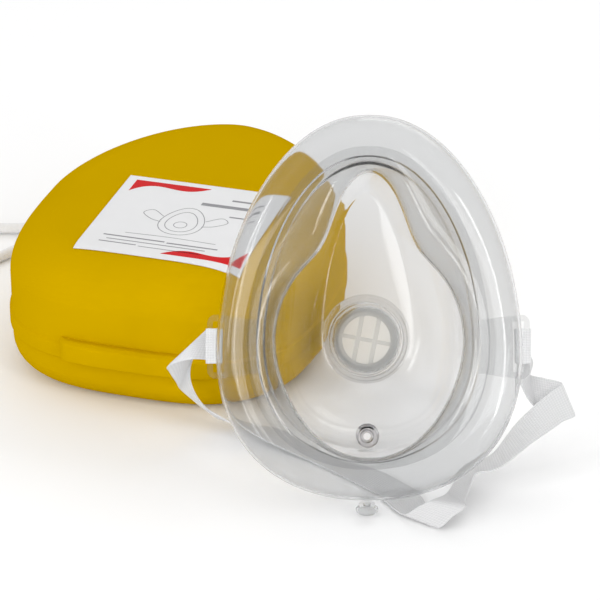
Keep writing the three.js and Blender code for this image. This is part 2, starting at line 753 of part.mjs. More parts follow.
// ---------- stand the kit on the floor, centred ----------
mask.rotateZ(MASK_TURN * Math.PI / 180);
mask.rotateX(MASK_TILT * Math.PI / 180);
mask.position.set(...MASK_AT);
group.updateMatrixWorld(true);
const box = new THREE.Box3();
group.traverse((node) => {
  if (node.isMesh && node.name !== 'lanyard_cord') {
    box.expandByObject(node, true);
  }
});
group.position.set(-(box.min.x + box.max.x) / 2, -(box.min.y + box.max.y) / 2, -box.min.z);
group.updateMatrixWorld(true);

export default group;
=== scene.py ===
"""Looks of a pocket resuscitation mask kit: clear mask, one-way valve, strap, yellow case and cord."""
import json
import math

import bpy
import numpy as np
from mathutils import Matrix, Vector

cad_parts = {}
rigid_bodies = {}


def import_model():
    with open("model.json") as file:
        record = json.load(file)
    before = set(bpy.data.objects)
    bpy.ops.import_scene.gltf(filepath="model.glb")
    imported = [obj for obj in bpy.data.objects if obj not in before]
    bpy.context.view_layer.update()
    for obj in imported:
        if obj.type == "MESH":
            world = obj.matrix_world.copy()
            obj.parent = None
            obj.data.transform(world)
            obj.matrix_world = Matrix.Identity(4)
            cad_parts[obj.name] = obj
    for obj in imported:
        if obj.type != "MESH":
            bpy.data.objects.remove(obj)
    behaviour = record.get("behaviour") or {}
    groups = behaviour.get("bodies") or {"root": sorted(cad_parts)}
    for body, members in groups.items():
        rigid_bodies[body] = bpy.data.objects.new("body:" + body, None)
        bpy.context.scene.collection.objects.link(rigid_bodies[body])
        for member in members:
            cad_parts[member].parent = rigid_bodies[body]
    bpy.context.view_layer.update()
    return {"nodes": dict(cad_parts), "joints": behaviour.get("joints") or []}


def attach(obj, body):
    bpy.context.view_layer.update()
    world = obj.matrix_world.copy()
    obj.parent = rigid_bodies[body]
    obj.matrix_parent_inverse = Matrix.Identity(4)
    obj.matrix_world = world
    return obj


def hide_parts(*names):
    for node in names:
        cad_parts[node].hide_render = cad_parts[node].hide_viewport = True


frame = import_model()
MM = 0.001
JOINTS = {joint["name"]: joint for joint in frame["joints"]}

# ---------- the two frames that everything is placed in, in millimetres ----------
HINGE_FROM_CENTRE = 76.3
SEAT_FROM_FACE = 56
hinge = Vector(JOINTS["lid_hinge"]["pos_m"]) / MM
CASE_AT = Vector((hinge.x, hinge.y - HINGE_FROM_CENTRE, 0))
TO_FACE = Vector(JOINTS["valve_turn"]["axis"]).normalized()
MASK_AT = Vector(JOINTS["valve_turn"]["pos_m"]) / MM + TO_FACE * SEAT_FROM_FACE
UP = Vector((0, 0, 1))
TO_NOSE = (UP - TO_FACE * TO_FACE.z).normalized()
ACROSS = TO_NOSE.cross(TO_FACE)
AWAY = UP.cross(ACROSS)


def frame_matrix(x, y, z, origin):
    return Matrix((
        (x.x, y.x, z.x, origin.x),
        (x.y, y.y, z.y, origin.y),
        (x.z, y.z, z.z, origin.z),
        (0, 0, 0, 1),
    ))


CASE_FRAME = frame_matrix(Vector((1, 0, 0)), Vector((0, 1, 0)), UP, CASE_AT)
MASK_FRAME = frame_matrix(ACROSS, TO_NOSE, TO_FACE, MASK_AT)
# Turned with the mask but standing upright on the floor below its port.
UPRIGHT = frame_matrix(ACROSS, AWAY, UP, Vector((MASK_AT.x, MASK_AT.y, 0)))

# ---------- camera ----------
CAMERA_FROM_MASK = (-23.3, -876.4, 481.8)
CAMERA_DOWN = 28
LENS = 180


def add_camera():
    data = bpy.data.cameras.new("camera")
    data.lens = LENS
    data.sensor_width = 36
    data.clip_start = 0.05
    data.clip_end = 20
    camera = bpy.data.objects.new("camera", data)
    right, away, up = CAMERA_FROM_MASK
    camera.location = (MASK_AT + ACROSS * right + AWAY * away + UP * up) * MM
    turn = math.atan2(ACROSS.y, ACROSS.x)
    camera.rotation_euler = (math.radians(90 - CAMERA_DOWN), 0, turn)
    bpy.context.scene.collection.objects.link(camera)
    bpy.context.scene.camera = camera


add_camera()


# ---------- mesh building ----------
SHARP_ANGLE = math.radians(35)


def signed_volume(verts, faces):
    a = verts[faces[:, 0]]
    total = 0.0
    for second, third in ((1, 2), (2, 3)):
        b = verts[faces[:, second]]
        c = verts[faces[:, third]]
        total += np.einsum("ij,ij->i", a, np.cross(b, c)).sum()
    return total


def skin(rings, wrap):
    """Quads over stacked rings (rows, points, 3); wrap joins the last ring to the first."""
    rows, count = rings.shape[:2]
    i = np.arange(rows if wrap else rows - 1)[:, None]
    j = np.arange(count)[None, :]
    here = i * count
    there = ((i + 1) % rows) * count
    beside = (j + 1) % count
    faces = np.stack([here + j, here + beside, there + beside, there + j], axis=-1).reshape(-1, 4)
    return rings.reshape(-1, 3), faces


def sheet_cap(start, count):
    """Quads that close the end of a thin sheet, out along one face and back along the other."""
    end = start + count - 1
    return [(start + j, start + j + 1, end - 1 - j, end - j) for j in range(count // 2 - 1)]


def closed_body(rings, wrap=False, inside_out=False, thin=False):
    """One closed body from stacked rings; open ends get a fan to a middle point, or quads if thin."""
    verts, faces = skin(rings, wrap)
    polygons = [tuple(face) for face in faces]
    flip = signed_volume(verts, faces) < 0
    if not wrap:
        count = rings.shape[1]
        for start, order in ((0, -1), ((rings.shape[0] - 1) * count, 1)):
            if thin:
                polygons += [quad[::order] for quad in sheet_cap(start, count)]
                continue
            hub = len(verts)
            verts = np.vstack([verts, rings[0 if start == 0 else -1].mean(axis=0)])
            for j in range(count):
                pair = (start + j, start + (j + 1) % count)[::order]
                polygons.append((hub, *pair))
    if flip != inside_out:
        polygons = [tuple(reversed(face)) for face in polygons]
    return verts, polygons


def make_object(name, parts, matrix, material):
    """A mesh object from (verts, polygons) parts in millimetres, placed by a millimetre matrix."""
    verts = []
    polygons = []
    for part_verts, part_faces in parts:
        start = len(verts)
        verts.extend(np.asarray(part_verts).tolist())
        polygons.extend(tuple(int(v) + start for v in face) for face in part_faces)
    mesh = bpy.data.meshes.new(name)
    mesh.from_pydata(verts, [], polygons)
    mesh.transform(Matrix.Scale(MM, 4) @ matrix)
    mesh.validate()
    mesh.shade_smooth()
    mesh.set_sharp_from_angle(angle=SHARP_ANGLE)
    mesh.materials.append(material)
    piece = bpy.data.objects.new(name, mesh)
    bpy.context.scene.collection.objects.link(piece)
    return piece


def place(piece, body, slot, *replaced):
    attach(piece, body)
    if replaced:
        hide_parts(*replaced)
    return piece


def rounded(points, radius, closed=True, steps=4):
    """The outline with each corner turned into an arc of that radius, or less where edges are short."""
    points = [np.array(p, float) for p in points]
    count = len(points)
    result = []
    for i, corner in enumerate(points):
        if not closed and i in (0, count - 1):
            result.append(corner)
            continue
        before = points[i - 1] - corner
        after = points[(i + 1) % count] - corner
        long_before = np.linalg.norm(before)
        long_after = np.linalg.norm(after)
        reach = min(radius, long_before * 0.45, long_after * 0.45)
        start = corner + before / long_before * reach
        end = corner + after / long_after * reach
        for step in range(steps + 1):
            t = step / steps
            result.append((1 - t) ** 2 * start + 2 * t * (1 - t) * corner + t * t * end)
    return result


def turned_rings(profile, sides=96):
    """Rings about local Z of a closed (radius, height) profile that stays off the axis."""
    profile = np.array(profile)
    angle = np.arange(sides) * 2 * math.pi / sides
    ring = np.stack([np.sin(angle), np.cos(angle)], axis=-1)
    flat = profile[:, 0][:, None, None] * ring[None]
    height = np.broadcast_to(profile[:, 1][:, None, None], flat.shape[:2] + (1,))
    return np.concatenate([flat, height], axis=-1)


def turned(profile, radius=0.25, sides=96):
    return closed_body(turned_rings(rounded(profile, radius), sides), wrap=True)


def disc(profile, radius=0.2, sides=96):
    """A solid turned body whose profile starts and ends next to the axis."""
    return closed_body(turned_rings(rounded(profile, radius, closed=False), sides))


def box_body(low, high, edge=0.2):
    """A box whose upright edges and rims are rounded."""
    corners = [(low[0], low[1]), (high[0], low[1]), (high[0], high[1]), (low[0], high[1])]
    rings = []
    for inset, z in ((edge, low[2]), (0, low[2] + edge), (0, high[2] - edge), (edge, high[2])):
        middle = (np.array(corners[0]) + np.array(corners[2])) / 2
        half = (np.array(corners[2]) - np.array(corners[0])) / 2
        scale = (half - inset) / half
        ring = [(middle + (p - middle) * scale) for p in rounded(corners, edge * 3)]
        rings.append([(p[0], p[1], z) for p in ring])
    return closed_body(np.array(rings))


def moved(part, matrix):
    verts, faces = part
    return np.array([matrix @ Vector(v) for v in verts]), faces


# ---------- materials ----------
def new_material(name, color, roughness, **settings):
    material = bpy.data.materials.new(name)
    material.use_nodes = True
    shader = material.node_tree.nodes["Principled BSDF"]
    shader.inputs["Base Color"].default_value = (*color, 1)
    shader.inputs["Roughness"].default_value = roughness
    for socket, value in settings.items():
        shader.inputs[socket.replace("_", " ")].default_value = value
    return material


def node(material, kind, links=(), **values):
    tree = material.node_tree
    made = tree.nodes.new(kind)
    for key, value in values.items():
        if key in made.inputs:
            made.inputs[key].default_value = value
        else:
            setattr(made, key, value)
    for socket, source in links:
        tree.links.new(source, made.inputs[socket])
    return made


def noise(material, scale, detail=2.0, stretch=(1, 1, 1)):
    coordinates = node(material, "ShaderNodeTexCoord")
    mapping = node(material, "ShaderNodeMapping", [("Vector", coordinates.outputs["Object"])])
    mapping.inputs["Scale"].default_value = stretch
    texture = node(material, "ShaderNodeTexNoise", [("Vector", mapping.outputs["Vector"])])
    texture.inputs["Scale"].default_value = scale
    texture.inputs["Detail"].default_value = detail
    return texture.outputs["Fac"]


def ranged(material, value, low, high, source=(0.0, 1.0)):
    made = node(material, "ShaderNodeMapRange", [("Value", value)])
    made.inputs["From Min"].default_value = source[0]
    made.inputs["From Max"].default_value = source[1]
    made.inputs["To Min"].default_value = low
    made.inputs["To Max"].default_value = high
    return made.outputs["Result"]


def mixed(material, factor, first, second):
    made = node(material, "ShaderNodeMix", data_type="RGBA")
    material.node_tree.links.new(factor, made.inputs[0])
    made.inputs[6].default_value = (*first, 1)
    made.inputs[7].default_value = (*second, 1)
    return made.outputs[2]


def feed(material, socket, source):
    shader = material.node_tree.nodes["Principled BSDF"]
    material.node_tree.links.new(source, shader.inputs[socket])


def bump(material, height, strength, distance):
    made = node(material, "ShaderNodeBump", [("Height", height)])
    made.inputs["Strength"].default_value = strength
    made.inputs["Distance"].default_value = distance
    feed(material, "Normal", made.outputs["Normal"])


def yellow_plastic():
    material = new_material(
        "yellow_polypropylene", (0.5, 0.31, 0.0), 0.45,
        Specular_IOR_Level=0.0,
    )
    grain = noise(material, 1800, 3)
    cloud = noise(material, 22, 3)
    feed(material, "Base Color", mixed(material, cloud, (0.47, 0.286, 0.0), (0.515, 0.316, 0.0)))
    feed(material, "Roughness", ranged(material, cloud, 0.38, 0.5))
    bump(material, grain, 0.25, 0.00006)
    return material


def clear_plastic(name, tint, roughness, ior, ripple, coat):
    """A see-through plastic: a weakly bending body under a smooth, bright skin."""
    material = new_material(
        name, tint, roughness, Transmission_Weight=1.0, IOR=ior,
        Coat_Weight=coat, Coat_Roughness=0.07, Coat_IOR=1.5,
    )
    flow = noise(material, 55, 2, (1, 1, 0.4))
    feed(material, "Roughness", ranged(material, flow, roughness * 0.5, roughness * 1.6))
    bump(material, flow, ripple, 0.0004)
    return material


RIB_PITCH = 0.9
THREAD_PITCH = 0.8


def wave(material, distance, pitch):
    """A sine along a distance in millimetres."""
    turn = node(material, "ShaderNodeMath", [(0, distance)], operation="MULTIPLY")
    turn.inputs[1].default_value = 2 * math.pi / pitch
    return node(material, "ShaderNodeMath", [(0, turn.outputs[0])], operation="SINE").outputs[0]


def woven_elastic():
    material = new_material("white_elastic", (0.8, 0.8, 0.81), 0.85, Sheen_Weight=0.2)
    band = node(material, "ShaderNodeUVMap", uv_map="band")
    split = node(material, "ShaderNodeSeparateXYZ", [("Vector", band.outputs["UV"])])
    ribs = wave(material, split.outputs["X"], RIB_PITCH)
    threads = wave(material, split.outputs["Y"], THREAD_PITCH)
    weave = node(material, "ShaderNodeMath", [(0, ribs), (1, threads)], operation="ADD")
    height = ranged(material, weave.outputs[0], 0, 1, (-2, 2))
    # Painted shade: the base colour follows the weave's bump height, so it is darker in the hollows between
    # ribs and threads and lighter on their tops.
    feed(material, "Base Color", mixed(material, height, (0.56, 0.56, 0.565), (0.66, 0.66, 0.665)))
    bump(material, height, 0.6, 0.0002)
    return material


def plain(name, low, high, roughness, scale=300, depth=0.00005, **settings):
    material = new_material(name, low, roughness, **settings)
    grain = noise(material, scale, 3)
    feed(material, "Base Color", mixed(material, grain, low, high))
    feed(material, "Roughness", ranged(material, grain, roughness * 0.85, roughness * 1.15))
    bump(material, grain, 0.4, depth)
    return material


YELLOW = yellow_plastic()
CLEAR = clear_plastic("clear_polycarbonate", (0.83, 0.833, 0.836), 0.05, 1.25, 0.05, 0.5)
VINYL = clear_plastic("clear_vinyl", (0.84, 0.844, 0.847), 0.07, 1.12, 0.08, 0.55)
SILICONE = clear_plastic("frosted_silicone", (0.92, 0.925, 0.925), 0.3, 1.1, 0.1, 0.3)
ELASTIC = woven_elastic()
CORD = plain("white_braid", (0.72, 0.72, 0.72), (0.84, 0.84, 0.84), 0.8, 900)
FOAM = plain("white_foam", (0.74, 0.74, 0.72), (0.86, 0.86, 0.84), 0.95, 700, 0.0003)
FILM = plain("label_film", (0.66, 0.66, 0.665), (0.7, 0.7, 0.705), 0.5, 120, 0.00003, Specular_IOR_Level=0.2)
RED = plain("label_red", (0.5, 0.006, 0.008), (0.56, 0.008, 0.01), 0.5, 120, 0.00003, Specular_IOR_Level=0.1)
FILTER = clear_plastic("filter_mesh", (0.93, 0.935, 0.93), 0.5, 1.05, 0.3, 0.0)
CAGE = clear_plastic("cage_plastic", (0.82, 0.825, 0.825), 0.03, 1.5, 0.05, 0.5)
INLET = clear_plastic("grey_inlet", (0.62, 0.61, 0.62), 0.08, 1.3, 0.05, 0.6)
GREY = plain("label_grey", (0.18, 0.18, 0.19), (0.26, 0.26, 0.27), 0.5, 120, 0.00003)
STEEL = plain("pin_steel", (0.5, 0.5, 0.52), (0.62, 0.62, 0.63), 0.3, 400, 0.00002, Metallic=1.0)


def paint_cad(material, *names):
    """Gives CAD pieces that stay as they are one of the materials above."""
    for name in names:
        slots = frame["nodes"][name].data.materials
        slots.clear()
        slots.append(material)



# ---------- carrying cord ----------
CORD_R = 2.0
CORD_ROUTE = [
    (-39, 68, 9), (-52, 62, 6), (-68, 54, 3), (-86.5, 46.5, 2.2), (-104, 40.5, 2.2),
    (-120, 29, 2.2), (-124, 12, 2.2), (-114, -1, 2.2), (-99, 1, 2.2), (-89, 15, 2.2),
    (-81, 30, 2.2), (-70, 43, 2.2), (-56, 53, 3.4), (-46, 57, 6),
]


def smooth_path(points, count):
    """Evenly spaced points on a Catmull-Rom curve through the given ones."""
    points = np.array(points, float)
    first = 2 * points[0] - points[1]
    last = 2 * points[-1] - points[-2]
    p = np.vstack([first, points, last])
    fine = []
    for i in range(1, len(p) - 2):
        for t in np.linspace(0, 1, 24, endpoint=False):
            a = 2 * p[i]
            b = p[i + 1] - p[i - 1]
            c = 2 * p[i - 1] - 5 * p[i] + 4 * p[i + 1] - p[i + 2]
            d = -p[i - 1] + 3 * p[i] - 3 * p[i + 1] + p[i + 2]
            fine.append((a + b * t + c * t * t + d * t ** 3) / 2)
    fine.append(points[-1])
    fine = np.array(fine)
    along = np.concatenate([[0], np.cumsum(np.linalg.norm(np.diff(fine, axis=0), axis=1))])
    where = np.linspace(0, along[-1], count)
    return np.stack([np.interp(where, along, fine[:, k]) for k in range(fine.shape[1])], axis=-1), along[-1]


def tube_frames(path):
    """Directions aside and up along a path, turning as little as they can."""
    ahead = np.gradient(path, axis=0)
    ahead /= np.linalg.norm(ahead, axis=1)[:, None]
    side = np.zeros_like(ahead)
    previous = np.cross(ahead[0], [0, 0, 1])
    for i, direction in enumerate(ahead):
        previous = previous - direction * previous.dot(direction)
        previous /= np.linalg.norm(previous)
        side[i] = previous
    return side, np.cross(side, ahead)


def braided_tube(path, radius, sides=32, carriers=8, pitch=9.0, relief=0.14):
    """A tube whose surface rises and falls with crossing strands."""
    side, up = tube_frames(path)
    along = np.concatenate([[0], np.cumsum(np.linalg.norm(np.diff(path, axis=0), axis=1))])
    angle = np.arange(sides) * 2 * math.pi / sides
    turn = 2 * math.pi * along[:, None] / pitch
    one = np.abs(np.sin(carriers / 2 * (angle[None] + turn)))
    other = np.abs(np.sin(carriers / 2 * (angle[None] - turn)))
    weave = np.maximum(one ** 0.6, other ** 0.6)
    r = radius * (1 - relief + relief * weave)
    circle = np.cos(angle)[None, :, None] * side[:, None] + np.sin(angle)[None, :, None] * up[:, None]
    return path[:, None] + circle * r[..., None]


def add_cord():
    path, long = smooth_path(CORD_ROUTE, 520)
    piece = make_object("wrist_cord", [closed_body(braided_tube(path, CORD_R))], CASE_FRAME, CORD)
    place(piece, "case_base", "cord", "lanyard_cord")


add_cord()

# ---------- case ----------
CASE_A = 57.5
CASE_B = 72.5
CASE_TAPER = 0.02
FRONT_POWER = 3.2
BACK_POWER = 1.78
CASE_TOP = 53.2
LID_RADIUS = 17.5
BASE_RADIUS = 11
WALL = 2
SEAM = 16
RUN = 0.3
SKIRT_TOP = 22.4
SKIRT_OUT = 0.8
SPIGOT_TOP = 19.4
LIP_OUTSIDE = 1.3
LIP_INSIDE = 2.7
RECESS = 1
INNER_LESS = 0.5
GRIP_OUT = 3.6
GRIP_X = (-25, 33)
GRIP_Z = (16.6, 24.6)
GRIP_END = 2.5
GRIP_END_DROP = 2.2
GRIP_ROOT = 0.9
HINGE_R = 3.1
HINGE_Z = SEAM
PIN_BORE = 1.3
LEAF_GAP = 0.6
KNUCKLES = 5
KNUCKLE_LONG = 7.6
KNUCKLE_GAP = 0.4
LABEL_X = (-24.5, 37)
LABEL_Y = (-57, 3.8)
LABEL_STEPS = 60
LABEL_LIFT = 0.2
LABEL_THICK = 0.25
PRINT_LIFT = LABEL_LIFT + LABEL_THICK + 0.01
PRINT_THICK = 0.03


def case_ring(inset, z, count=256):
    angle = (np.arange(count) + 0.5) * 2 * math.pi / count
    c = np.cos(angle)
    s = np.sin(angle)
    power = np.where(s < 0, FRONT_POWER, BACK_POWER)
    y = (CASE_B - inset) * np.sign(s) * np.abs(s) ** (2 / power)
    x = (CASE_A - inset) * np.sign(c) * np.abs(c) ** (2 / power) * (1 - CASE_TAPER * y / CASE_B)
    return np.stack([x, y, np.full(count, float(z))], axis=-1)


def case_body(profile, radius=0.35):
    fine = rounded(profile, radius, closed=False, steps=3)
    return closed_body(np.array([case_ring(inset, z) for inset, z in fine]))


def quarter(steps, place_at):
    return [place_at(i * math.pi / 2 / steps) for i in range(steps + 1)]


def base_profile():
    inner = BASE_RADIUS - INNER_LESS
    outside = quarter(9, lambda t: (BASE_RADIUS * (1 - math.sin(t)), BASE_RADIUS * (1 - math.cos(t))))
    rim = [
        (0, SEAM - RUN), (LIP_OUTSIDE, SEAM - RUN),
        (LIP_OUTSIDE, SPIGOT_TOP), (LIP_INSIDE, SPIGOT_TOP),
    ]
    inside = quarter(8, lambda t: (LIP_INSIDE + inner * (1 - math.cos(t)), WALL + inner * (1 - math.sin(t))))
    return outside + rim + inside


def lid_profile():
    inner = LID_RADIUS - INNER_LESS
    outside = quarter(14, lambda t: (
        LID_RADIUS * (1 - math.sin(t)),
        CASE_TOP - LID_RADIUS * (1 - math.cos(t)),
    ))
    rim = [
        (0, SKIRT_TOP), (-SKIRT_OUT, SKIRT_TOP - 0.9), (-SKIRT_OUT, SEAM), (RECESS, SEAM),
        (RECESS, SPIGOT_TOP + 0.5), (WALL, SPIGOT_TOP + 1.5),
    ]
    inside = quarter(10, lambda t: (
        WALL + inner * (1 - math.cos(t)),
        CASE_TOP - WALL - inner * (1 - math.sin(t)),
    ))
    return outside + rim + inside


def grip_bar():
    """The finger bar along the lid's opening edge, following its wall."""
    columns = []
    steps = 40
    for i in range(steps + 1):
        x = GRIP_X[0] + (GRIP_X[1] - GRIP_X[0]) * i / steps
        wall = CASE_B * (1 - abs(x / CASE_A) ** FRONT_POWER) ** (1 / FRONT_POWER)
        end = min(i, steps - i) * (GRIP_X[1] - GRIP_X[0]) / steps
        out = GRIP_OUT - GRIP_END_DROP * max(0.0, 1 - end / GRIP_END) ** 1.5
        corners = [
            (-wall - out, GRIP_Z[0]), (-wall - out, GRIP_Z[1] - 1.2), (-wall - out + 1.6, GRIP_Z[1]),
            (-wall + GRIP_ROOT, GRIP_Z[1]), (-wall + GRIP_ROOT, GRIP_Z[0]),
        ]
        columns.append([(x, p[0], p[1]) for p in rounded(corners, 0.6)])
    return closed_body(np.array(columns))


def knuckle_parts(indices, on_lid):
    """Hinge barrels, and the leaves that join them to their shell."""
    parts = []
    for i in indices:
        start = (i - KNUCKLES / 2) * (KNUCKLE_LONG + KNUCKLE_GAP) + KNUCKLE_GAP / 2
        end = start + KNUCKLE_LONG
        barrel = turned([(PIN_BORE, start), (HINGE_R, start), (HINGE_R, end), (PIN_BORE, end)], 0.3, 40)
        lay = Matrix.Translation((0, HINGE_FROM_CENTRE, HINGE_Z)) @ Matrix.Rotation(math.pi / 2, 4, "Y")
        parts.append(moved(barrel, lay))
        low, high = (LEAF_GAP, HINGE_R) if on_lid else (-HINGE_R, -LEAF_GAP)
        parts.append(box_body(
            (start, CASE_B - 5.5, HINGE_Z + low),
            (end, HINGE_FROM_CENTRE - 1.5, HINGE_Z + high),
        ))
    return parts


def lid_height(x, y):
    """Height of the lid's outer face, flat in the middle and rounded towards its outline."""
    power = np.where(y < 0, FRONT_POWER, BACK_POWER)
    across = np.abs(x) / (1 - CASE_TAPER * y / CASE_B)
    low = np.zeros(np.shape(x))
    high = np.full(np.shape(x), CASE_A - 1.0)
    for _ in range(30):
        inset = (low + high) / 2
        inside = (across / (CASE_A - inset)) ** power + np.abs(y / (CASE_B - inset)) ** power < 1
        low = np.where(inside, inset, low)
        high = np.where(inside, high, inset)
    short = np.maximum(LID_RADIUS - low, 0)
    return CASE_TOP - LID_RADIUS + np.sqrt(LID_RADIUS ** 2 - short ** 2)


def lid_sheet(first, second, lift, thick, cells):
    """A thin sheet on the lid that fills the space between two matching edges."""
    first = np.asarray(first, float)
    second = np.asarray(second, float)
    share = np.linspace(0, 1, cells + 1)[None, :, None]
    flat = first[:, None] * (1 - share) + second[:, None] * share
    under = lid_height(flat[..., 0], flat[..., 1]) + lift
    low = np.concatenate([flat, under[..., None]], axis=-1)
    top = low[:, ::-1] + np.array([0, 0, thick])
    return closed_body(np.concatenate([low, top], axis=1), thin=True)


def label_sheet():
    down = np.linspace(LABEL_Y[0], LABEL_Y[1], LABEL_STEPS + 1)
    left, right = [np.stack([np.full(LABEL_STEPS + 1, x), down], axis=1) for x in LABEL_X]
    return lid_sheet(left, right, LABEL_LIFT, LABEL_THICK, LABEL_STEPS)


def swoosh(corner, toward):
    """A swept band of colour running in from one corner of the label."""
    long = 29
    straight = []
    wavy = []
    for t in np.linspace(0, 1, 41):
        deep = 0.2 + 9.4 * (1 - t) ** 5 + 4.2 * math.sin(math.pi * t ** 1.8)
        x = corner[0] + toward * long * t
        straight.append((x, corner[1]))
        wavy.append((x, corner[1] - toward * deep))
    return lid_sheet(straight, wavy, PRINT_LIFT, PRINT_THICK, 4)


def pen_line(points, wide):
    """A drawn line: a smooth strip of constant width along those label points."""
    shown = [(LABEL_X[0] + across, LABEL_Y[1] - down) for across, down in points]
    path, _ = smooth_path(shown, 12 * len(shown))
    ahead = np.gradient(path, axis=0)
    ahead /= np.linalg.norm(ahead, axis=1)[:, None]
    side = np.stack([-ahead[:, 1], ahead[:, 0]], axis=1) * wide / 2
    return lid_sheet(path + side, path - side, PRINT_LIFT, PRINT_THICK, 1)


def bar(start, end, down, thick):
    """A blank bar that stands for a line of print."""
    return pen_line([(start, down), ((start + end) / 2, down), (end, down)], thick)


def circle_points(across, down, radius):
    turns = np.linspace(0, 2 * math.pi, 13)
    return [(across + radius * math.cos(t), down + radius * math.sin(t)) for t in turns]


def egg_points(across, down, wide, long):
    turns = np.linspace(0, 2 * math.pi, 17)
    return [(
        across + wide * math.sin(t) * (1 - 0.22 * math.cos(t)),
        down - long * math.cos(t),
    ) for t in turns]


# Plain line drawing of a mask with its port, its strap and the breath going in.
PEN = 0.3
DRAWING = [
    egg_points(31, 31, 8, 11),
    egg_points(31, 31.5, 5.6, 8),
    circle_points(31, 34, 2.4),
    [(23, 29), (18, 25), (15, 28), (19, 32), (23.2, 33.5)],
    [(39, 29), (44, 25), (47, 28), (43, 32), (38.8, 33.5)],
    [(14, 45.2), (31, 44.6), (48, 45.2)],
]
# Blank bars where the printed lines would be: (from, to, down, thickness).
BARS = [
    (43, 54, 10, 1.2), (33, 54, 15.5, 2.2), (46, 54, 23, 0.9),
    (7, 30, 48.5, 0.8), (31, 50, 49, 0.8), (9, 46, 51.2, 0.5), (7, 21, 53.6, 0.6), (22, 45, 54.2, 0.4),
]


def add_case():
    lid = make_object(
        "lid_shell",
        [case_body(lid_profile()), grip_bar(), *knuckle_parts((1, 3), True)],
        CASE_FRAME, YELLOW,
    )
    place(lid, "case_lid", "shell", "case_lid")
    base = make_object(
        "base_shell",
        [case_body(base_profile()), *knuckle_parts((0, 2, 4), False)],
        CASE_FRAME, YELLOW,
    )
    place(base, "case_base", "shell", "case_base")
    label = make_object("label_plate", [label_sheet()], CASE_FRAME, FILM)
    place(label, "case_lid", "paper", "case_label")
    red = [
        swoosh((LABEL_X[0] + 3.6, LABEL_Y[1] - 3), 1),
        swoosh((LABEL_X[1] - 1, LABEL_Y[0] + 3.4), -1),
    ]
    place(make_object("label_swooshes", red, CASE_FRAME, RED), "case_lid", "paper")
    lines = [pen_line(points, PEN) for points in DRAWING]
    lines += [bar(*sizes) for sizes in BARS]
    place(make_object("label_lines", lines, CASE_FRAME, GREY), "case_lid", "paper")
    slab = case_body([(15, WALL + 0.3), (14.6, WALL + 1.6), (15.4, WALL + 3.3)], 0.8)
    pad = make_object("foam_pad", [slab], CASE_FRAME, FOAM)
    place(pad, "case_base", "foam", "case_pad")


add_case()
paint_cad(YELLOW, "cord_eyelet")
paint_cad(STEEL, "hinge_pin")

# ---------- mask outlines, as radii about the port's axis ----------
RIM_A = 50.4
RIM_B = 64.9
RIM_MID = 11.4
RIM_TAPER = 0.186
RIM_POWER = 2.2
CUSHION_DEEP = 20
FLANGE_INSET = 10
WALL_INSET = 14.5
FLANGE_BACK = -22.5
PLATEAU = -50.5
DOME_WALL = 2
PORT_R = 14.6
PORT_BORE = 13.2
PORT_END = -62
VALVE_END = -90
AROUND = 288
PHI = np.arange(AROUND) * 2 * math.pi / AROUND


def outermost(inside):
    """Bisects for the radius where inside(x, u) stops being true, at every direction."""
    low = np.zeros(AROUND)
    high = np.full(AROUND, 120.0)
    for _ in range(40):
        middle = (low + high) / 2
        within = inside(middle * np.sin(PHI), middle * np.cos(PHI))
        low = np.where(within, middle, low)
        high = np.where(within, high, middle)
    return low


def egg(inset):
    a = RIM_A - inset
    b = RIM_B - inset

    def inside(x, u):
        s = np.clip((u - RIM_MID) / b, -1, 1)
        half = a * (1 - np.abs(s) ** RIM_POWER) ** (1 / RIM_POWER) * (1 - RIM_TAPER * s)
        return (np.abs(s) < 1) & (np.abs(x) < half)

    return outermost(inside)


OPENING_R = 31.2
CHIN_REACH = 8.1
# How far the opening reaches out towards the nose, and over how many degrees.
NOSE_REACHES = ((22.5, 17), (3, 55))


def opening():
    around = np.minimum(PHI, 2 * math.pi - PHI)
    degrees = np.degrees(around)
    chin = CHIN_REACH * ((1 - np.cos(around)) / 2) ** 7
    nose = sum(reach * np.exp(-((degrees / width) ** 2)) for reach, width in NOSE_REACHES)
    return OPENING_R + chin + nose


DROP_R = 15.4
DROP_LONG = 52


def teardrop(grow):
    """The dome's crown: round about the port and drawn out to a point at the nose."""
    def inside(x, u):
        along = np.abs(np.maximum(u, 0) / (DROP_LONG + grow)) ** 1.9
        drop = along + np.abs(x / (DROP_R + grow)) ** 1.54 < 1
        return np.where(u < 0, np.hypot(x, u) < DROP_R + grow, drop)

    return outermost(inside)


def polar(radii, f):
    f = np.broadcast_to(f, radii.shape)
    return np.stack([radii * np.sin(PHI), radii * np.cos(PHI), f], axis=-1)


# ---------- cushion ----------
SKIN = 0.8
CUSHION_SIDES = 48
CUSHION_POWER = 0.87


def bulged(value):
    """A cosine or sine pushed outwards, so that its circle turns squarer."""
    return np.sign(value) * abs(value) ** CUSHION_POWER


def cushion_rings(skin_depth):
    outer = egg(0)
    inner = opening()
    rings = []
    half_wide = (outer - inner) / 2 - skin_depth
    half_deep = CUSHION_DEEP / 2 - skin_depth
    for beta in np.arange(CUSHION_SIDES) * 2 * math.pi / CUSHION_SIDES:
        radii = (outer + inner) / 2 + half_wide * bulged(math.cos(beta))
        rings.append(polar(radii, -CUSHION_DEEP / 2 + half_deep * bulged(math.sin(beta))))
    return np.array(rings)


def add_cushion():
    parts = [
        closed_body(cushion_rings(0), wrap=True),
        closed_body(cushion_rings(SKIN), wrap=True, inside_out=True),
    ]
    piece = make_object("air_cushion", parts, MASK_FRAME, VINYL)
    place(piece, "mask", "soft", "cushion")


add_cushion()

# ---------- dome ----------
# The wall from its foot to its crown: (share of the way in to the crown's outline, depth).
WALL_STEPS = [
    (0, -24.5), (0.1, -29.5), (0.25, -35.5), (0.45, -41.5), (0.7, -46.5), (0.9, -49.4), (1, PLATEAU),
]
WALL_RUN = 20


